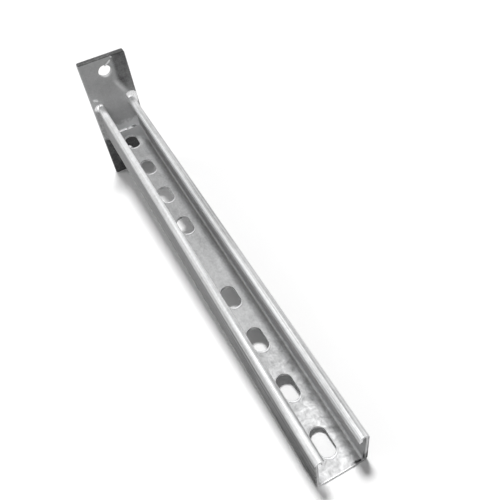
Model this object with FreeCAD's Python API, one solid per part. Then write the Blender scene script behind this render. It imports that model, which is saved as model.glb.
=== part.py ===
"""Cantilever bracket: an arm of slotted strut channel, welded to a drilled wall plate.

Millimetres. The origin is the centre of the wall plate's back face, where the arm's
centre line meets the wall. +X runs out along the arm, +Z is up and +Y is across.
"""
import FreeCAD, Part
import math
import os

# Strut channel: a C section, roll-formed from strip, with its open side up
channel_width = 41.3
channel_height = 41.3
channel_wall = 2.5
arm_length = 450.0
lip_gap = 26.0
lip_depth = 7.1
web_bend_inner_radius = 2.0
top_bend_inner_radius = 1.5
lip_bend_inner_radius = 1.0
strip_edge_radius = 0.6

# Slots punched along the middle of the web, in groups with one place left out between
slot_length = 25.0
slot_width = 13.0
slot_pitch = 50.0
slot_end_distance = 25.0
slots_per_group = 4

# Wall plate: a length of flat bar, drilled near both ends
plate_width = 50.0
plate_height = 140.0
plate_thickness = 6.0
plate_corner_radius = 2.0
plate_edge_radius = 0.8
plate_hole_diameter = 14.0
plate_hole_inset = 15.0

# Fillet weld round the outside of the channel
weld_leg = 4.0
weld_bulge = 0.5

# A cut runs this far past the faces it goes through
cut_margin = 1.0

channel_bottom = -channel_height / 2
channel_top = channel_height / 2
channel_side = channel_width / 2


def vector(x, y, z):
    return FreeCAD.Vector(x, y, z)


def rounded_wire(corners, place, closed=True):
    """A wire through corners (a, b, radius), with a tangent arc at each corner that has a radius.

    place turns a point of the sketch (a, b) into a point in space.
    """
    points = [vector(a, b, 0) for a, b, _ in corners]
    count = len(points)
    stations = []
    for index, (point, corner) in enumerate(zip(points, corners)):
        radius = corner[2]
        is_end = not closed and index in (0, count - 1)
        if is_end or radius == 0:
            stations.append((point, None, point))
            continue
        to_last = (points[index - 1] - point).normalize()
        to_next = (points[(index + 1) % count] - point).normalize()
        half_angle = to_last.getAngle(to_next) / 2
        setback = radius / math.tan(half_angle)
        bisector = (to_last + to_next).normalize()
        middle = point + bisector * (radius / math.sin(half_angle) - radius)
        stations.append((point + to_last * setback, middle, point + to_next * setback))

    edges = []
    for index, (start, middle, end) in enumerate(stations):
        if middle is not None:
            arc = Part.Arc(place(start.x, start.y), place(middle.x, middle.y), place(end.x, end.y))
            edges.append(arc.toShape())
        if index < count - 1 or closed:
            following = stations[(index + 1) % count][0]
            edges.append(Part.LineSegment(place(end.x, end.y), place(following.x, following.y)).toShape())
    return Part.Wire(edges)


def channel_section(x):
    """The closed outline of the rolled strip, in the plane across the arm at x."""
    lip_edge = lip_gap / 2
    lip_bottom = channel_top - lip_depth
    inner_side = channel_side - channel_wall
    inner_top = channel_top - channel_wall
    inner_bottom = channel_bottom + channel_wall
    right_half = [
        (channel_side, channel_bottom, web_bend_inner_radius + channel_wall),
        (channel_side, channel_top, top_bend_inner_radius + channel_wall),
        (lip_edge, channel_top, lip_bend_inner_radius + channel_wall),
        (lip_edge, lip_bottom, strip_edge_radius),
        (lip_edge + channel_wall, lip_bottom, strip_edge_radius),
        (lip_edge + channel_wall, inner_top, lip_bend_inner_radius),
        (inner_side, inner_top, top_bend_inner_radius),
        (inner_side, inner_bottom, web_bend_inner_radius),
    ]
    left_half = [(-y, z, radius) for y, z, radius in reversed(right_half)]
    return rounded_wire(right_half + left_half, lambda y, z: vector(x, y, z))


def slot_centres():
    """Distances of the slots from the plate, leaving out one place after each group."""
    places = int((arm_length - 2 * slot_end_distance) / slot_pitch + 0.001) + 1
    return [
        slot_end_distance + place * slot_pitch
        for place in range(places)
        if place % (slots_per_group + 1) != slots_per_group
    ]


def slot_cutter(x):
    """A round-ended cutter that goes down through the web at x."""
    half_width = slot_width / 2
    half_straight = (slot_length - slot_width) / 2
    floor = channel_bottom - cut_margin

    def side(direction):
        return Part.LineSegment(
            vector(x - direction * half_straight, -direction * half_width, floor),
            vector(x + direction * half_straight, -direction * half_width, floor),
        )

    def end(direction):
        return Part.Arc(
            vector(x + direction * half_straight, -direction * half_width, floor),
            vector(x + direction * slot_length / 2, 0, floor),
            vector(x + direction * half_straight, direction * half_width, floor),
        )

    outline = Part.Wire([curve.toShape() for curve in (side(1), end(1), side(-1), end(-1))])
    return Part.Face(outline).extrude(vector(0, 0, channel_wall + 2 * cut_margin))


def make_strut_channel():
    section = Part.Face(channel_section(plate_thickness))
    channel = section.extrude(vector(arm_length, 0, 0))
    cutters = [slot_cutter(plate_thickness + centre) for centre in slot_centres()]
    return channel.cut(cutters)


def make_wall_plate():
    half_width = plate_width / 2
    half_height = plate_height / 2
    corners = [
        (-half_width, -half_height, plate_corner_radius),
        (half_width, -half_height, plate_corner_radius),
        (half_width, half_height, plate_corner_radius),
        (-half_width, half_height, plate_corner_radius),
    ]
    outline = rounded_wire(corners, lambda y, z: vector(0, y, z))
    plate = Part.Face(outline).extrude(vector(plate_thickness, 0, 0))
    front_edges = [edge for edge in plate.Edges if edge.BoundBox.XMin > plate_thickness / 2]
    plate = plate.makeFillet(plate_edge_radius, front_edges)

    hole_height = half_height - plate_hole_inset
    drill_length = plate_thickness + 2 * cut_margin
    for z in (-hole_height, hole_height):
        start = vector(-cut_margin, 0, z)
        plate = plate.cut(Part.makeCylinder(plate_hole_diameter / 2, drill_length, start, vector(1, 0, 0)))
    return plate


def make_weld_bead():
    """A convex fillet that follows the channel's outside, from one lip round to the other."""
    front = plate_thickness
    lip_end = lip_gap / 2 + lip_bend_inner_radius + channel_wall
    top_radius = top_bend_inner_radius + channel_wall
    web_radius = web_bend_inner_radius + channel_wall
    path = rounded_wire(
        [
            (-lip_end, channel_top, 0),
            (-channel_side, channel_top, top_radius),
            (-channel_side, channel_bottom, web_radius),
            (channel_side, channel_bottom, web_radius),
            (channel_side, channel_top, top_radius),
            (lip_end, channel_top, 0),
        ],
        lambda y, z: vector(front, y, z),
        closed=False,
    )
    root = vector(front, -lip_end, channel_top)
    on_plate = root + vector(0, 0, weld_leg)
    on_channel = root + vector(weld_leg, 0, 0)
    crown = (on_plate + on_channel) * 0.5 + vector(1, 0, 1).normalize() * weld_bulge
    section = Part.Wire(
        [
            Part.LineSegment(root, on_plate).toShape(),
            Part.Arc(on_plate, crown, on_channel).toShape(),
            Part.LineSegment(on_channel, root).toShape(),
        ]
    )
    return path.makePipeShell([section], True, False)


parts = {
    "strut_channel": make_strut_channel(),
    "wall_plate": make_wall_plate(),
    "weld_bead": make_weld_bead(),
}

os.makedirs("parts", exist_ok=True)
for name, shape in parts.items():
    solid = shape.Solids[0] if len(shape.Solids) == 1 else shape
    solid.exportStep(f"parts/{name}.step")
    print(f"{name}: {len(shape.Solids)} solid, valid {shape.isValid()}, {shape.Volume / 1000:.1f} cm3")
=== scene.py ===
import math
import random
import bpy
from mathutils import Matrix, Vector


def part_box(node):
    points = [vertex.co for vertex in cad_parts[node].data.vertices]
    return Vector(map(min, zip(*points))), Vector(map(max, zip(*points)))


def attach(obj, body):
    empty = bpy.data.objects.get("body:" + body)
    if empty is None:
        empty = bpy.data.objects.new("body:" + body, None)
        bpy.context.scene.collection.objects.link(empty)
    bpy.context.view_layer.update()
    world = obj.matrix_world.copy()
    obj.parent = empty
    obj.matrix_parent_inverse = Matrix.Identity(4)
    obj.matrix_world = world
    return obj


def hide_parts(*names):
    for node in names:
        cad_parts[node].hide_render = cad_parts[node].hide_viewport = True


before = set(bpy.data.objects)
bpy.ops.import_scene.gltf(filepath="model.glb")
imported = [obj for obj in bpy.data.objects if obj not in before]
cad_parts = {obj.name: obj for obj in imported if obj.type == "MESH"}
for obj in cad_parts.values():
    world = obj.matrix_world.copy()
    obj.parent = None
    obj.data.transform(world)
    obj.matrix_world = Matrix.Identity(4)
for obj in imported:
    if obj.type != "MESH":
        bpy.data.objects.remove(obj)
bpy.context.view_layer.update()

from types import SimpleNamespace

import bmesh
import bpy
from mathutils import Vector, noise

MM = 0.001

# Camera, at the photograph's place and angle, for a square picture
camera_place = (0.58027, -0.08319, 0.38466)
camera_turn_degrees = (38.754, 4.933, 61.762)
camera_lens = 42.80
camera_sensor = 36.0
camera_shift = (-0.04, 0.05)

# Light: a weak even sky, a soft lamp high above and behind, and two weaker ones: one from the left that draws
# the bends, and a low one from the free end that reaches the wall plate
sky_strength = 0.18
key_direction = (-0.30, 0.05, 1.0)
key_spread_degrees = 12.0
key_strength = 2.5
glint_direction = (-0.50, -0.64, 0.58)
glint_spread_degrees = 26.0
glint_strength = 0.45
fill_direction = (0.94, -0.14, 0.32)
fill_spread_degrees = 24.0
fill_strength = 0.7
floor_tone = 0.12

# The bracket rests on the wall plate's lower edge and the free end of the arm
floor_reach = 1.6
floor_gap = 0.1 * MM

# Sizes of the bracket, as drawn. The row of slots leaves its fifth place out
plate_low, plate_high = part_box("wall_plate")
arm_low, arm_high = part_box("strut_channel")
plate_front = plate_high.x
arm_end = arm_high.x
channel_side = arm_high.y
channel_top = arm_high.z
channel_bottom = arm_low.z
channel_wall = 2.5 * MM
web_top = channel_bottom + channel_wall
inner_side = channel_side - channel_wall
web_bend = 4.5 * MM
top_bend = 4.0 * MM
lip_bend = 3.5 * MM
lip_edge = 13.0 * MM
slot_half_straight = 6.0 * MM
slot_radius = 6.5 * MM
slot_first = 25.0 * MM
slot_pitch = 50.0 * MM
slot_places = (0, 1, 2, 3, 5, 6, 7, 8)

# Runs and lumps of metal: the sides of a round body, and its steps from one given point to the next
bead_sides = 12
bead_steps = 6

# The zinc's darkest and lightest colour
zinc_dark = (0.02, 0.0202, 0.0205)
zinc_light = (0.93, 0.935, 0.94)


class Recipe:
    """The nodes of one material, worked out from the place on the part in metres.

    x is the distance from the wall, and off_middle the distance to either side of the middle plane.
    """

    def __init__(self, name):
        self.material = bpy.data.materials.new(name)
        self.material.use_nodes = True
        self.tree = self.material.node_tree
        self.tree.nodes.clear()
        output = self.node("ShaderNodeOutputMaterial")
        self.shader = self.node("ShaderNodeBsdfPrincipled")
        self.tree.links.new(self.shader.outputs[0], output.inputs[0])
        self.place = self.node("ShaderNodeTexCoord").outputs["Object"]
        split = self.node("ShaderNodeSeparateXYZ")
        self.feed(split.inputs[0], self.place)
        self.x, self.y, self.z = split.outputs
        self.off_middle = self.math("ABSOLUTE", self.y)

    def node(self, kind, **settings):
        node = self.tree.nodes.new(kind)
        for key, value in settings.items():
            setattr(node, key, value)
        return node

    def feed(self, socket, value):
        if isinstance(value, bpy.types.NodeSocket):
            self.tree.links.new(value, socket)
        else:
            socket.default_value = value

    def math(self, operation, first, second=0.0):
        node = self.node("ShaderNodeMath", operation=operation)
        self.feed(node.inputs[0], first)
        self.feed(node.inputs[1], second)
        return node.outputs[0]

    def sum(self, *values):
        total = values[0]
        for value in values[1:]:
            total = self.math("ADD", total, value)
        return total

    def product(self, *values):
        total = values[0]
        for value in values[1:]:
            total = self.math("MULTIPLY", total, value)
        return total

    def only(self, mask, *values):
        """The sum of the values where mask is 1, and nothing where it is 0."""
        return self.product(mask, self.sum(*values))

    def ramp(self, value, low, high, to_low=0.0, to_high=1.0):
        """Turns low..high smoothly into to_low..to_high, and keeps to that range."""
        node = self.node("ShaderNodeMapRange", interpolation_type="SMOOTHSTEP")
        for socket, number in zip(node.inputs, (value, low, high, to_low, to_high)):
            self.feed(socket, number)
        return node.outputs[0]

    def band(self, value, low, high, soft):
        """1 between low and high, falling to 0 over soft on both sides."""
        rising = self.ramp(value, low - soft, low + soft)
        falling = self.ramp(value, high - soft, high + soft, 1.0, 0.0)
        return self.product(rising, falling)

    def noise(self, per_metre, detail=3.0, roughness=0.5, distortion=0.0):
        """Noise with so many grains in each metre along X, Y and Z."""
        scaled = self.node("ShaderNodeVectorMath", operation="MULTIPLY")
        self.feed(scaled.inputs[0], self.place)
        self.feed(scaled.inputs[1], per_metre)
        texture = self.node("ShaderNodeTexNoise", noise_dimensions="3D")
        self.feed(texture.inputs["Vector"], scaled.outputs[0])
        self.feed(texture.inputs["Scale"], 1.0)
        self.feed(texture.inputs["Detail"], detail)
        self.feed(texture.inputs["Roughness"], roughness)
        self.feed(texture.inputs["Distortion"], distortion)
        return texture.outputs["Fac"]

    def swing(self, value, amount):
        """A noise value as a change of up to about amount, up or down."""
        return self.math("MULTIPLY", self.math("SUBTRACT", value, 0.5), 2.0 * amount)

    def paint(self, tone, dark, light):
        """Sets the base colour by a tone from 0, dark, to 1, light."""
        mix = self.node("ShaderNodeMix", data_type="RGBA")
        first_colour, second_colour, mixed_colour = mix.inputs[6], mix.inputs[7], mix.outputs[2]
        self.feed(mix.inputs["Factor"], tone)
        self.feed(first_colour, (*dark, 1.0))
        self.feed(second_colour, (*light, 1.0))
        self.feed(self.shader.inputs["Base Color"], mixed_colour)

    def relief(self, *layers):
        """Stacks bumps, each a height from 0 to 1 and its depth in metres."""
        last = None
        for height, depth in layers:
            bump = self.node("ShaderNodeBump")
            self.feed(bump.inputs["Height"], height)
            self.feed(bump.inputs["Distance"], depth)
            if last is not None:
                self.feed(bump.inputs["Normal"], last)
            last = bump.outputs[0]
        self.feed(self.shader.inputs["Normal"], last)


def channel_grains(recipe):
    """The strip's noises: clouds, mottling, lines drawn along the arm, and the rough ones of its free end."""
    return SimpleNamespace(
        cloud=recipe.noise((22, 40, 40), detail=2.0),
        mottle=recipe.noise((150, 190, 190), detail=4.0, roughness=0.6),
        streak=recipe.noise((2.5, 330, 330), detail=2.0),
        line=recipe.noise((6, 900, 900), detail=1.0),
        grain=recipe.noise((26, 150, 150), detail=4.0, roughness=0.65),
        speck=recipe.noise((420, 620, 620), detail=2.0),
        wave=recipe.noise((150, 120, 120), detail=4.0, roughness=0.6, distortion=0.7),
        ragged=recipe.noise((480, 480, 480), detail=3.0),
    )


def channel_areas(recipe):
    """Stretches of the arm and faces of the channel, each as 1 where it is and 0 elsewhere."""
    areas = SimpleNamespace()
    areas.outer_half = recipe.ramp(recipe.x, 0.25, 0.40)
    areas.last_part = recipe.ramp(recipe.x, 0.36, 0.43)
    areas.cut_end = recipe.ramp(recipe.x, arm_end - 0.3 * MM, arm_end - 0.1 * MM)

    areas.lip_face = recipe.ramp(recipe.z, channel_top - 2.2 * MM, channel_top - 1.2 * MM)
    below_lips = recipe.ramp(recipe.z, channel_top - 4.45 * MM, channel_top - 2.45 * MM, 1.0, 0.0)
    areas.outer_wall = recipe.product(
        recipe.ramp(recipe.off_middle, channel_side - 1.45 * MM, channel_side - 0.65 * MM),
        below_lips,
    )
    areas.inner_wall = recipe.product(
        recipe.band(recipe.off_middle, inner_side - 0.25 * MM, inner_side + 0.85 * MM, 0.3 * MM),
        below_lips,
    )

    areas.web_face = recipe.product(
        recipe.band(recipe.z, web_top - 0.6 * MM, web_top + 2.2 * MM, 0.3 * MM),
        recipe.ramp(recipe.off_middle, inner_side - 0.75 * MM, inner_side + 0.05 * MM, 1.0, 0.0),
    )
    areas.runny = recipe.product(areas.web_face, recipe.ramp(recipe.x, 0.26, 0.40))
    areas.web_end = recipe.product(areas.cut_end, recipe.ramp(recipe.z, web_top, web_top + 1 * MM, 1.0, 0.0))
    return areas


def lips_tone(recipe, grains, areas):
    """What the lips add to the tone: streaks towards the free end, painted light next to the wall plate, a
    painted highlight and a painted shadow along the left lip's inner edge, and painted light on the faces
    where they turn down.
    """
    left_lip = recipe.product(areas.lip_face, recipe.ramp(recipe.y, -1 * MM, 1 * MM, 1.0, 0.0))
    right_lip = recipe.product(areas.lip_face, recipe.ramp(recipe.y, -1 * MM, 1 * MM))
    from_lip_edge = recipe.math("SUBTRACT", recipe.off_middle, lip_edge)
    return_height = recipe.ramp(recipe.z, channel_top - 7.4 * MM, channel_top - 6.4 * MM)
    return_face = recipe.product(recipe.ramp(from_lip_edge, 0.2 * MM, 1.0 * MM, 1.0, 0.0), return_height)
    return_bend = recipe.product(recipe.ramp(from_lip_edge, 1.2 * MM, 2.8 * MM, 1.0, 0.0), return_height)
    streaks = recipe.sum(recipe.swing(grains.streak, 0.42), recipe.swing(grains.line, 0.30))
    return recipe.sum(
        recipe.only(
            areas.lip_face,
            # Painted light on the lips next to the wall plate, where its shadow falls
            recipe.ramp(recipe.x, 0.015, 0.035, 0.34, 0.0),
            recipe.ramp(recipe.x, 0.10, 0.20, 0.0, -0.06),
            recipe.ramp(recipe.x, 0.41, 0.44, 0.0, 0.06),
            recipe.swing(grains.line, 0.14),
            recipe.product(areas.outer_half, streaks),
            recipe.product(areas.last_part, recipe.swing(grains.grain, 0.24)),
        ),
        recipe.only(
            left_lip,
            recipe.ramp(recipe.x, 0.22, 0.32, 0.04, -0.08),
            # Painted highlight along the left lip's inner bend
            recipe.product(recipe.band(from_lip_edge, 0.4 * MM, 2.6 * MM, 0.5 * MM), 0.14),
            # Painted shadow along the left lip's inner edge towards the free end
            recipe.product(
                recipe.ramp(from_lip_edge, 1.2 * MM, 2.4 * MM, 1.0, 0.0),
                recipe.ramp(recipe.x, 0.30, 0.40, 0.0, -0.40),
            ),
        ),
        recipe.only(
            right_lip,
            recipe.ramp(recipe.x, 0.03, 0.08, 0.08, -0.08),
            recipe.product(recipe.band(recipe.x, 0.26, 0.40, 0.04), 0.14),
            recipe.product(recipe.band(from_lip_edge, 2.0 * MM, 4.4 * MM, 0.5 * MM), -0.14),
        ),
        # Painted light on the faces where the lips turn down, and on their bends
        recipe.product(return_face, 0.48),
        recipe.product(return_bend, 0.20),
    )


def walls_tone(recipe, grains, areas):
    """What the walls add to the tone: dark patches and streaks outside, and painted shade inside, under the
    lips and near the wall plate.
    """
    patches = recipe.ramp(grains.grain, 0.50, 0.60)
    return recipe.sum(
        recipe.only(
            areas.outer_wall,
            recipe.ramp(recipe.x, 0.02, 0.25, 0.04, -0.08),
            recipe.product(
                recipe.ramp(recipe.x, 0.15, 0.35),
                recipe.ramp(recipe.z, -6 * MM, 10 * MM, -0.12, 0.04),
            ),
            recipe.product(areas.outer_half, recipe.swing(grains.streak, 0.36)),
            recipe.product(areas.last_part, -0.16),
            recipe.product(recipe.ramp(recipe.x, 0.24, 0.40), patches, -0.18),
        ),
        recipe.only(
            areas.inner_wall,
            recipe.ramp(recipe.x, 0.10, 0.35, 0.02, 0.12),
            # Painted shadow under the lips on the inner wall's upper part, strongest near the wall plate
            recipe.product(
                recipe.ramp(recipe.x, 0.08, 0.14, 1.0, 0.4),
                recipe.ramp(recipe.z, 2 * MM, 12 * MM, 0.0, -0.22),
            ),
            # Painted shade on the inner wall near the wall plate, from about mid height up
            recipe.product(
                recipe.ramp(recipe.x, 0.05, 0.12, 1.0, 0.0),
                recipe.ramp(recipe.z, -6 * MM, 6 * MM, 0.0, -0.26),
            ),
        ),
    )


def web_tone(recipe, grains, areas):
    """What the web adds to the tone: painted light near the wall plate and beside the walls, where shadows
    fall, painted highlights on the bends and the slot rims, and zinc runs towards the free end.
    """
    # Painted highlight on the rims round the slots
    slot_rim = recipe.product(
        recipe.ramp(recipe.z, web_top + 0.05 * MM, web_top + 0.25 * MM),
        recipe.ramp(recipe.z, web_top + 2 * MM, web_top + 3 * MM, 1.0, 0.0),
        recipe.ramp(recipe.off_middle, slot_radius + 2.5 * MM, slot_radius + 4.5 * MM, 1.0, 0.0),
    )
    # Painted highlight along the bends where the web meets the walls
    bend = recipe.band(recipe.off_middle, inner_side - 2.05 * MM, inner_side - 0.35 * MM, 0.4 * MM)
    return recipe.sum(
        recipe.only(
            areas.web_face,
            # Painted light near the wall plate, where its shadow falls; darker beyond
            recipe.ramp(recipe.x, 0.024, 0.046, 0.46, -0.20),
            recipe.product(areas.last_part, 0.08),
            recipe.swing(grains.grain, 0.12),
            # Painted light beside the walls, where the lips' shadows fall
            recipe.ramp(recipe.off_middle, inner_side - 6.65 * MM, inner_side - 3.15 * MM, 0.0, 0.16),
            recipe.product(bend, 0.34),
        ),
        recipe.only(areas.runny, 0.04, recipe.swing(grains.wave, 0.50)),
        recipe.product(slot_rim, 0.35),
    )


def end_tone(recipe, grains, areas):
    """What the cut end adds to the tone: painted light, with a dark ragged patch in its lower right-hand
    corner.
    """
    ragged = grains.ragged
    from_end = recipe.math("SUBTRACT", arm_end, recipe.x)
    # A dark ragged patch in the lower right-hand corner of the end
    dark_corner_patch = recipe.product(
        recipe.ramp(recipe.sum(from_end, recipe.swing(ragged, 4.5 * MM)), 1.4 * MM, 2.4 * MM, 1.0, 0.0),
        recipe.ramp(recipe.sum(recipe.y, recipe.swing(ragged, 5.0 * MM)), 6 * MM, 14 * MM),
        recipe.ramp(recipe.sum(recipe.z, recipe.swing(ragged, 8.0 * MM)), -12 * MM, -6 * MM, 1.0, 0.0),
    )
    return recipe.sum(
        # Painted light on the cut end
        recipe.product(areas.cut_end, 0.20),
        recipe.product(areas.web_end, 0.15),
        recipe.product(dark_corner_patch, -0.60),
    )


def channel_zinc():
    """Roll-formed strip, with drawn lines along the arm and walls that are duller than the lips.

    Towards the free end the web is brighter and runny, and the walls and lips are streaky.
    """
    recipe = Recipe("channel_zinc")
    grains = channel_grains(recipe)
    areas = channel_areas(recipe)
    drawn = recipe.math("SUBTRACT", 1.0, areas.web_face)
    tone = recipe.sum(
        0.56,
        recipe.swing(grains.cloud, 0.06),
        recipe.swing(grains.mottle, 0.10),
        recipe.swing(grains.speck, 0.12),
        recipe.only(drawn, recipe.swing(grains.streak, 0.14), recipe.swing(grains.line, 0.14)),
        lips_tone(recipe, grains, areas),
        walls_tone(recipe, grains, areas),
        web_tone(recipe, grains, areas),
        end_tone(recipe, grains, areas),
    )
    recipe.paint(tone, zinc_dark, zinc_light)

    dull = recipe.math("MAXIMUM", areas.outer_wall, areas.inner_wall)
    satin = recipe.math("MAXIMUM", dull, recipe.product(areas.web_face, 0.55))
    bare_metal = recipe.ramp(satin, 0.0, 1.0, 0.40, 0.05)
    bare_metal = recipe.math("MAXIMUM", bare_metal, recipe.product(areas.web_end, 0.8))
    recipe.feed(recipe.shader.inputs["Metallic"], bare_metal)
    recipe.feed(recipe.shader.inputs["Specular IOR Level"], recipe.ramp(dull, 0.0, 1.0, 0.5, 0.1))
    recipe.feed(
        recipe.shader.inputs["Roughness"],
        recipe.sum(
            recipe.ramp(grains.mottle, 0.3, 0.7, 0.32, 0.44),
            recipe.product(satin, 0.2),
            recipe.product(areas.lip_face, 0.12),
        ),
    )
    recipe.relief(
        (recipe.product(drawn, grains.streak), 0.10 * MM),
        (recipe.product(drawn, grains.line), 0.04 * MM),
        (grains.mottle, 0.10 * MM),
        (recipe.product(areas.runny, grains.wave), 0.4 * MM),
    )
    return recipe.material


def plate_zinc():
    """Flat bar: satin grey, with painted shade beyond a line from the hole to the right-hand lip and at the
    foot, below the arm, painted light low on the face and near the web, a painted highlight on the zinc runs
    that stand proud of it, and darker along the upper edge.
    """
    recipe = Recipe("plate_zinc")
    cloud = recipe.noise((60, 55, 40), detail=3.0)
    mottle = recipe.noise((220, 220, 220), detail=4.0, roughness=0.6)
    speck = recipe.noise((700, 700, 700), detail=2.0)
    front = recipe.ramp(recipe.x, plate_front - 2.5 * MM, plate_front - 0.8 * MM)

    # Painted shade: the dark area starts beyond a line that goes down beside the hole and then slants to the
    # lip
    beside_hole = 7.6 * MM
    slant_y = 9.9 * MM
    slant_z = 37.1 * MM
    slant = 0.45
    slanted = recipe.sum(slant_y, recipe.product(recipe.math("SUBTRACT", slant_z, recipe.z), slant))
    beyond = recipe.math("SUBTRACT", recipe.y, recipe.math("MAXIMUM", slanted, beside_hole))
    above_arm = recipe.ramp(recipe.z, 18 * MM, 24 * MM)
    dark = recipe.product(front, recipe.ramp(beyond, 0.0, 5.0 * MM), above_arm)
    light = recipe.product(
        front,
        recipe.band(beyond, -3.2 * MM, 0.0, 2.0 * MM),
        recipe.band(recipe.z, 28 * MM, 42 * MM, 5 * MM),
    )

    # Painted light: between the channel's walls, where this corner lies in shade, the plate is lighter near
    # the web, up to a ragged edge
    between_walls = recipe.ramp(recipe.off_middle, inner_side - 1.15 * MM, inner_side + 0.85 * MM, 1.0, 0.0)
    ragged_height = recipe.sum(recipe.z, recipe.swing(cloud, 5 * MM), recipe.swing(mottle, 7 * MM))
    near_web = recipe.product(front, recipe.band(ragged_height, -22 * MM, -9 * MM, 4 * MM), between_walls)
    # Painted light on the face low down, fading out upwards
    between_lips = recipe.product(front, recipe.ramp(recipe.z, 10 * MM, 45 * MM, 1.0, 0.0))

    # Painted shade at the foot, below the arm
    below_arm = recipe.ramp(recipe.z, channel_bottom - 3.35 * MM, channel_bottom + 1.65 * MM, 1.0, 0.0)
    foot = recipe.product(front, below_arm)
    upper_edge = recipe.ramp(recipe.z, plate_high.z - 1.1 * MM, plate_high.z - 0.6 * MM)
    # Painted highlight on the zinc runs that stand proud of the face
    proud = recipe.ramp(recipe.x, plate_front + 0.10 * MM, plate_front + 0.45 * MM)
    tone = recipe.sum(
        0.46,
        recipe.swing(cloud, 0.07),
        recipe.swing(mottle, 0.08),
        recipe.swing(speck, 0.08),
        recipe.only(dark, -0.31, recipe.swing(cloud, 0.14)),
        recipe.product(light, 0.28),
        recipe.product(between_lips, 0.14),
        recipe.product(near_web, 0.60),
        recipe.product(foot, -0.52),
        recipe.product(upper_edge, -0.42),
        recipe.product(proud, 0.45),
    )
    recipe.paint(tone, zinc_dark, zinc_light)
    recipe.feed(recipe.shader.inputs["Metallic"], 0.3)
    recipe.feed(recipe.shader.inputs["Roughness"], recipe.ramp(cloud, 0.3, 0.7, 0.42, 0.55))
    recipe.relief((mottle, 0.05 * MM), (cloud, 0.15 * MM))
    return recipe.material


def weld_zinc():
    """Weld metal and zinc runs: lumpy and a little pitted, with painted highlights at the lips and painted
    light on the run inside the channel, where it lies in shade; there they are also shinier.
    """
    recipe = Recipe("weld_zinc")
    mottle = recipe.noise((260, 260, 260), detail=4.0, roughness=0.6)
    pit = recipe.noise((700, 700, 700), detail=2.0)
    at_right_lip = recipe.product(
        recipe.ramp(recipe.y, 10 * MM, 12 * MM),
        recipe.ramp(recipe.z, 8 * MM, 14 * MM),
    )
    at_left_lip = recipe.product(
        recipe.ramp(recipe.y, -19 * MM, -17 * MM, 1.0, 0.0),
        recipe.ramp(recipe.z, 14 * MM, 19 * MM),
    )
    inside = recipe.product(
        recipe.ramp(recipe.off_middle, inner_side - 1.15 * MM, inner_side - 0.15 * MM, 1.0, 0.0),
        recipe.ramp(recipe.z, channel_bottom + 0.65 * MM, channel_bottom + 1.65 * MM),
    )
    # Painted highlights at the lips and painted light on the inner run
    bright = recipe.math("MAXIMUM", recipe.math("MAXIMUM", at_left_lip, at_right_lip), inside)
    shaded = recipe.math("SUBTRACT", 1.0, bright)
    tone = recipe.sum(
        0.36,
        recipe.product(bright, 0.58),
        recipe.product(shaded, recipe.swing(mottle, 0.24)),
        recipe.swing(mottle, 0.14),
        recipe.swing(pit, 0.10),
    )
    recipe.paint(tone, zinc_dark, zinc_light)
    recipe.feed(recipe.shader.inputs["Metallic"], recipe.ramp(bright, 0.0, 1.0, 0.25, 0.65))
    recipe.feed(
        recipe.shader.inputs["Roughness"],
        recipe.sum(recipe.ramp(mottle, 0.3, 0.7, 0.34, 0.48), recipe.product(bright, -0.12)),
    )
    recipe.relief((mottle, 0.18 * MM), (pit, 0.05 * MM))
    return recipe.material


def add_piece(name, mesh, material, replaced=None):
    """Turns a bmesh into a smooth piece that rides the bracket."""
    bmesh.ops.recalc_face_normals(mesh, faces=mesh.faces)
    data = bpy.data.meshes.new(name)
    mesh.to_mesh(data)
    mesh.free()
    data.polygons.foreach_set("use_smooth", [True] * len(data.polygons))
    data.materials.append(material)
    piece = bpy.data.objects.new(name, data)
    bpy.context.scene.collection.objects.link(piece)
    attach(piece, "root")
    if replaced:
        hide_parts(replaced)


def add_rings(mesh, rings, start_tip=None, end_tip=None):
    """Skins closed rings of points into one closed body, with a point or a flat cap at each end."""
    rows = [[mesh.verts.new(point) for point in ring] for ring in rings]
    count = len(rows[0])
    for first, second in zip(rows, rows[1:]):
        for index in range(count):
            after = (index + 1) % count
            mesh.faces.new((first[index], first[after], second[after], second[index]))
    for row, tip in ((rows[0], start_tip), (rows[-1], end_tip)):
        if tip is None:
            mesh.faces.new(row)
            continue
        top = mesh.verts.new(tip)
        for index in range(count):
            mesh.faces.new((row[index], row[(index + 1) % count], top))


def smooth_route(points, steps):
    """Points along a Catmull-Rom curve through the given points."""
    ends = [points[0] * 2 - points[1], *points, points[-1] * 2 - points[-2]]
    route = []
    for a, b, c, d in zip(ends, ends[1:], ends[2:], ends[3:]):
        linear = c - a
        square = 2 * a - 5 * b + 4 * c - d
        cube = 3 * b - a - 3 * c + d
        for step in range(steps):
            t = step / steps
            route.append(0.5 * (2 * b + linear * t + square * t * t + cube * t**3))
    route.append(points[-1])
    return route


def add_bead(mesh, points, width, up, squash=1.0, profile=None):
    """A closed run of metal along the points, half sunk in what it lies on, with rounded tips.

    width is its half width in the middle, squash its height as a share of that, and profile
    the share of the width at each part of its length, from 0 to 1.
    """
    route = smooth_route([Vector(point) for point in points], bead_steps)
    last = len(route) - 1
    rings = []
    for index in range(1, last):
        part = index / last
        size = width * (profile(part) if profile else math.sqrt(1 - (2 * part - 1) ** 4))
        along = (route[index + 1] - route[index - 1]).normalized()
        across = along.cross(up).normalized()
        height = across.cross(along)
        ring = []
        for side in range(bead_sides):
            angle = 2 * math.pi * side / bead_sides
            sideways = across * size * math.cos(angle)
            upwards = height * size * squash * math.sin(angle)
            ring.append(route[index] + sideways + upwards)
        rings.append(ring)
    add_rings(mesh, rings, route[0], route[-1])


def wobble(along, row, amount):
    """A smooth change of up to about amount, up or down, at a place along a row of noise."""
    return noise.noise(Vector((along, row, 0.0))) * amount


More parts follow.
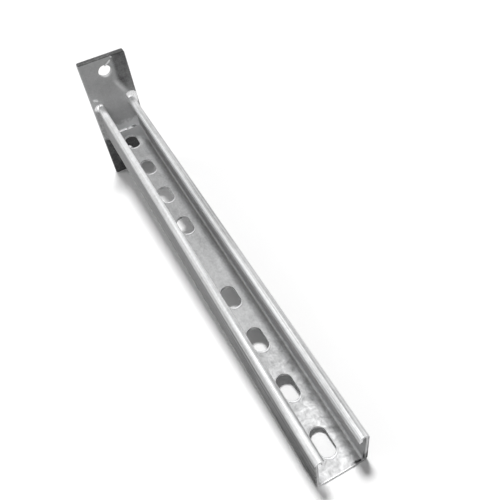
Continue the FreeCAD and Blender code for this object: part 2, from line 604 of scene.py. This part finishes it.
def outside_path(step):
    """Places round the outside of the channel, each with its outward direction, as (y, z) vectors.

    They run from the top of the left-hand lip, round under the web, to the top of the right-hand one.
    """
    lip_start_degrees = 22
    lip_lean = Vector((0, 2))
    places = []

    def straight(start, end, normal):
        length = (Vector(end) - Vector(start)).length
        count = max(1, round(length / step))
        for index in range(count):
            places.append((Vector(start).lerp(Vector(end), index / count), Vector(normal)))

    def bend(centre, radius, first, last):
        count = max(2, round(abs(math.radians(last - first)) * radius / step))
        for index in range(count):
            angle = math.radians(first + (last - first) * index / count)
            normal = Vector((math.cos(angle), math.sin(angle)))
            places.append((Vector(centre) + normal * radius, normal))

    side, top, bottom = channel_side, channel_top, channel_bottom
    bend((-lip_edge - lip_bend, top - lip_bend), lip_bend, lip_start_degrees, 90)
    # Over a lip's rounded edge the weld stands up from it, rather than square to it
    places[:] = [(place, (normal + lip_lean).normalized()) for place, normal in places]
    straight((-lip_edge - lip_bend, top), (-side + top_bend, top), (0, 1))
    bend((-side + top_bend, top - top_bend), top_bend, 90, 180)
    straight((-side, top - top_bend), (-side, bottom + web_bend), (-1, 0))
    bend((-side + web_bend, bottom + web_bend), web_bend, 180, 270)
    straight((-side + web_bend, bottom), (0, bottom), (0, -1))
    middle = [(Vector((0, bottom)), Vector((0, -1)))]
    mirrored = [
        (Vector((-place.x, place.y)), Vector((-normal.x, normal.y)))
        for place, normal in reversed(places)
    ]
    return places + middle + mirrored


def make_weld(material):
    """The fillet weld, with a ripple for each drop of the weld pool.

    It is slight over the left-hand lip, and heaviest round the bend outside the right-hand one.
    """
    step = 0.55 * MM
    sink = 0.3 * MM
    leg = 4.0 * MM
    crown = 0.40 * MM
    crown_points = 9
    noise_row = 3.1
    uneven_per_metre = 90
    unevenness = 0.45 * MM
    ripple_pitch = 2.3 * MM
    ripple_depth = 0.22 * MM
    ripple_lag = 1.4 * MM
    end_round = 2.2 * MM
    least_rounding = 0.12
    left_lip_growth = -2.2 * MM
    right_lip_growth = 0.3 * MM
    left_corner_growth = 0.2 * MM
    right_corner_growth = 1.8 * MM
    plate_edge = plate_high.y - 0.2 * MM
    least_sideways = 0.1

    path = outside_path(step)
    lengths = [0.0]
    for (place, _), (last_place, _) in zip(path[1:], path):
        lengths.append(lengths[-1] + (place - last_place).length)
    total = lengths[-1]
    mesh = bmesh.new()
    rings = []
    for (place, normal), length in zip(path, lengths):
        near_end = min(length, total - length)
        rounding = math.sqrt(1 - (1 - min(near_end / end_round, 1.0)) ** 2)
        rounding = max(rounding, least_rounding)
        uneven = wobble(length * uneven_per_metre, noise_row, unevenness)
        on_top = max(0.0, normal.y)
        on_left = place.x < 0
        lip_growth = left_lip_growth if on_left else right_lip_growth
        corner_growth = left_corner_growth if on_left else right_corner_growth
        corner = 2 * on_top * abs(normal.x) if abs(place.x) > channel_side - top_bend else 0.0
        up = (leg + uneven + lip_growth * on_top + corner_growth * corner) * rounding
        if abs(normal.x) > least_sideways:
            up = min(up, (plate_edge - abs(place.x)) / abs(normal.x))
        out = (leg + lip_growth * on_top - uneven) * rounding
        root = Vector((plate_front - sink, place.x - normal.x * sink, place.y - normal.y * sink))
        away = Vector((0.0, normal.x, normal.y))
        on_plate = root + away * (up + sink)
        on_channel = root + Vector((out + sink, 0, 0))
        outward = (away + Vector((1, 0, 0))).normalized()
        ring = [root]
        for index in range(crown_points):
            part = index / (crown_points - 1)
            belly = math.sin(math.pi * part)
            wave = math.cos(2 * math.pi * (length + ripple_lag * belly) / ripple_pitch)
            height = (crown * rounding + ripple_depth * rounding * (0.5 + 0.5 * wave)) * belly
            ring.append(on_plate.lerp(on_channel, part) + outward * height)
        rings.append(ring)
    add_rings(mesh, rings)
    add_piece("weld_ripples", mesh, material, "weld_bead")


def make_inner_run(material):
    """The thin run of zinc inside, where the web meets the wall plate, which the weld material paints light,
    as it lies in shade.
    """
    reach = 15.0 * MM
    width = 2.1 * MM
    up = Vector((0.7, 0, 0.7))
    stretches = 12
    noise_row = 0.7
    uneven_per_metre = 260
    unevenness = 0.20 * MM
    proud = 0.2 * MM
    mesh = bmesh.new()
    points = []
    for index in range(stretches + 1):
        across = -reach + 2 * reach * index / stretches
        uneven = wobble(across * uneven_per_metre, noise_row, unevenness)
        points.append((plate_front + proud + uneven, across, web_top + proud + uneven))
    add_bead(mesh, points, width, up, squash=0.8)
    add_piece("inner_zinc_run", mesh, material)


def make_plate_runs(material):
    """What ran off the wall plate.

    It is a run and a drop above the hole, a flat blob above the left-hand lip, and lumps on the upper edge.
    """
    mesh = bmesh.new()
    out = Vector((1, 0, 0))
    edge_out = Vector((1, 0, 1)).normalized()

    def on_face(*places, proud=0.0):
        return [(plate_front + proud * MM, y * MM, z * MM) for y, z in places]

    def slender(part):
        return 0.35 + 0.65 * math.sin(math.pi * part) ** 0.5

    run = on_face((0.8, 60.9), (4.0, 62.6), (6.6, 64.2), (8.4, 65.9))
    drop = on_face((9.2, 67.9), (9.9, 68.5), (10.6, 69.1), proud=-0.5)
    left_blob = on_face((-22.6, 28.0), (-19.4, 27.8), (-16.2, 25.6))
    add_bead(mesh, run, 1.0 * MM, out, squash=0.75, profile=slender)
    add_bead(mesh, drop, 1.5 * MM, out)
    add_bead(mesh, left_blob, 1.9 * MM, out, squash=0.22)
    for across, size in ((-5.5 * MM, 1.3 * MM), (-8.2 * MM, 0.7 * MM), (14.0 * MM, 0.6 * MM)):
        place = Vector((plate_front - 1.6 * MM, across, plate_high.z - 0.95 * size))
        half = Vector((0, 1.8 * size, 0))
        add_bead(mesh, [place - half, place, place + half], size, edge_out, squash=0.8)
    add_piece("plate_zinc_runs", mesh, material)


def make_slot_rims(material):
    """The rolled-over zinc rim of each slot, thicker at the end towards the free end."""
    thin = 0.40 * MM
    thick = 1.15 * MM
    sunk = 0.1 * MM
    outset = 0.6
    flatness = 0.6
    noise_rows_per_place = 3.3
    uneven_per_turn = 0.9
    unevenness = 0.2
    turns = 48
    sides = 8
    mesh = bmesh.new()
    for place in slot_places:
        middle = plate_front + slot_first + place * slot_pitch
        rings = []
        for turn in range(turns):
            angle = 2 * math.pi * turn / turns
            ahead = math.cos(angle)
            out = Vector((ahead, math.sin(angle), 0))
            size = thin + (thick - thin) * max(0.0, ahead) ** 2
            size *= 1.0 + wobble(turn * uneven_per_turn, place * noise_rows_per_place, unevenness)
            end = Vector((middle + math.copysign(slot_half_straight, ahead), 0, web_top - sunk))
            centre = end + out * (slot_radius + size * outset)
            ring = []
            for side in range(sides):
                around = 2 * math.pi * side / sides
                sideways = out * size * math.cos(around)
                upwards = Vector((0, 0, flatness * size * math.sin(around)))
                ring.append(mesh.verts.new(centre + sideways + upwards))
            rings.append(ring)
        for index, first in enumerate(rings):
            second = rings[(index + 1) % turns]
            for side in range(sides):
                after = (side + 1) % sides
                mesh.faces.new((first[side], first[after], second[after], second[side]))

    # The first slot has a blob of zinc left in its corner
    corner_blob = [
        (plate_front + slot_first + x * MM, y * MM, web_top + z * MM)
        for x, y, z in ((4.5, -6.9, -0.8), (6.8, -5.2, -0.9), (9.6, -4.6, -0.8))
    ]
    add_bead(mesh, corner_blob, 2.0 * MM, Vector((0, 0, 1)), squash=0.7)
    add_piece("slot_rims", mesh, material)


def make_edge_lumps(material):
    """Zinc that set in lumps along the lower left-hand bend, where the arm drained."""
    places = (150, 178, 205, 224, 241, 257, 272, 287, 306, 320, 342, 354, 382, 394, 419, 440)
    angles_degrees = (188, 222)
    half_lengths = (3.0, 6.0)
    sizes = (1.0, 1.6)
    sunk = 0.25
    bend_y = -channel_side + web_bend
    bend_z = channel_bottom + web_bend
    rng = random.Random(7)
    mesh = bmesh.new()
    for place in places:
        angle = math.radians(rng.uniform(*angles_degrees))
        half_length = rng.uniform(*half_lengths) * MM
        size = rng.uniform(*sizes) * MM
        out = Vector((0, math.cos(angle), math.sin(angle)))
        middle = Vector((place * MM, bend_y, bend_z)) + out * (web_bend - sunk * size)
        along = Vector((half_length, 0, 0))
        add_bead(mesh, [middle - along, middle, middle + along], size, out, squash=0.55)
    add_piece("drain_lumps", mesh, material)


def make_floor():
    """A pale floor through the two places where the bracket touches it."""
    foot = Vector((plate_low.x, 0, plate_low.z))
    toe = Vector((arm_end, 0, channel_bottom))
    along = (toe - foot).normalized()
    across = Vector((0, 1, 0))
    down = along.cross(across)
    down = down if down.z < 0 else -down
    centre = (foot + toe) / 2 + down * floor_gap
    corners = [
        centre + along * a * floor_reach + across * b * floor_reach
        for a, b in ((-1, -1), (1, -1), (1, 1), (-1, 1))
    ]
    mesh = bmesh.new()
    mesh.faces.new([mesh.verts.new(corner) for corner in corners])
    data = bpy.data.meshes.new("floor")
    mesh.to_mesh(data)
    mesh.free()
    floor = bpy.data.objects.new("floor", data)
    bpy.context.scene.collection.objects.link(floor)
    floor.data.materials.append(floor_material())


def seen_directly(tree):
    """1 for what the camera sees, straight, in metal or through glass, and 0 for the light's own paths."""
    path = tree.nodes.new("ShaderNodeLightPath")
    total = path.outputs["Is Camera Ray"]
    for name in ("Is Glossy Ray", "Is Transmission Ray"):
        node = tree.nodes.new("ShaderNodeMath")
        node.operation = "MAXIMUM"
        tree.links.new(total, node.inputs[0])
        tree.links.new(path.outputs[name], node.inputs[1])
        total = node.outputs[0]
    return total


def floor_material():
    """White where it is seen, and a darker grey for the light that it throws back. Clear from below."""
    material = bpy.data.materials.new("pale_floor")
    material.use_nodes = True
    tree = material.node_tree
    tree.nodes.clear()
    output = tree.nodes.new("ShaderNodeOutputMaterial")
    mix = tree.nodes.new("ShaderNodeMixShader")
    for socket, tone in ((mix.inputs[1], floor_tone), (mix.inputs[2], 1.0)):
        diffuse = tree.nodes.new("ShaderNodeBsdfDiffuse")
        diffuse.inputs["Color"].default_value = (tone, tone, tone, 1.0)
        tree.links.new(diffuse.outputs[0], socket)
    tree.links.new(seen_directly(tree), mix.inputs[0])
    from_below = tree.nodes.new("ShaderNodeMixShader")
    tree.links.new(tree.nodes.new("ShaderNodeNewGeometry").outputs["Backfacing"], from_below.inputs[0])
    tree.links.new(mix.outputs[0], from_below.inputs[1])
    tree.links.new(tree.nodes.new("ShaderNodeBsdfTransparent").outputs[0], from_below.inputs[2])
    tree.links.new(from_below.outputs[0], output.inputs[0])
    return material


def make_world():
    """A weak even sky, which is plain white where it is seen."""
    world = bpy.data.worlds.new("studio")
    bpy.context.scene.world = world
    world.use_nodes = True
    tree = world.node_tree
    tree.nodes.clear()
    output = tree.nodes.new("ShaderNodeOutputWorld")
    mix = tree.nodes.new("ShaderNodeMixShader")
    for socket, strength in ((mix.inputs[1], sky_strength), (mix.inputs[2], 1.0)):
        background = tree.nodes.new("ShaderNodeBackground")
        background.inputs["Color"].default_value = (1.0, 1.0, 1.0, 1.0)
        background.inputs["Strength"].default_value = strength
        tree.links.new(background.outputs[0], socket)
    tree.links.new(seen_directly(tree), mix.inputs[0])
    tree.links.new(mix.outputs[0], output.inputs[0])


def add_sun(name, direction, spread_degrees, strength):
    lamp = bpy.data.lights.new(name, "SUN")
    lamp.energy = strength
    lamp.angle = math.radians(spread_degrees)
    sun = bpy.data.objects.new(name, lamp)
    sun.rotation_euler = Vector(direction).to_track_quat("Z", "Y").to_euler()
    bpy.context.scene.collection.objects.link(sun)


def make_camera():
    data = bpy.data.cameras.new("camera")
    data.sensor_width = camera_sensor
    data.lens = camera_lens
    data.shift_x, data.shift_y = camera_shift
    camera = bpy.data.objects.new("camera", data)
    camera.location = camera_place
    camera.rotation_euler = [math.radians(turn) for turn in camera_turn_degrees]
    bpy.context.scene.collection.objects.link(camera)
    bpy.context.scene.camera = camera


channel = channel_zinc()
plate = plate_zinc()
weld = weld_zinc()
for node, material in (("strut_channel", channel), ("wall_plate", plate), ("weld_bead", weld)):
    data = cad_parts[node].data
    data.materials.clear()
    data.materials.append(material)

make_camera()
make_weld(weld)
make_inner_run(weld)
make_plate_runs(plate)
make_slot_rims(channel)
make_edge_lumps(channel)
make_floor()
make_world()
add_sun("key", key_direction, key_spread_degrees, key_strength)
add_sun("glint", glint_direction, glint_spread_degrees, glint_strength)
add_sun("fill", fill_direction, fill_spread_degrees, fill_strength)
bpy.context.scene.view_settings.view_transform = "Standard"
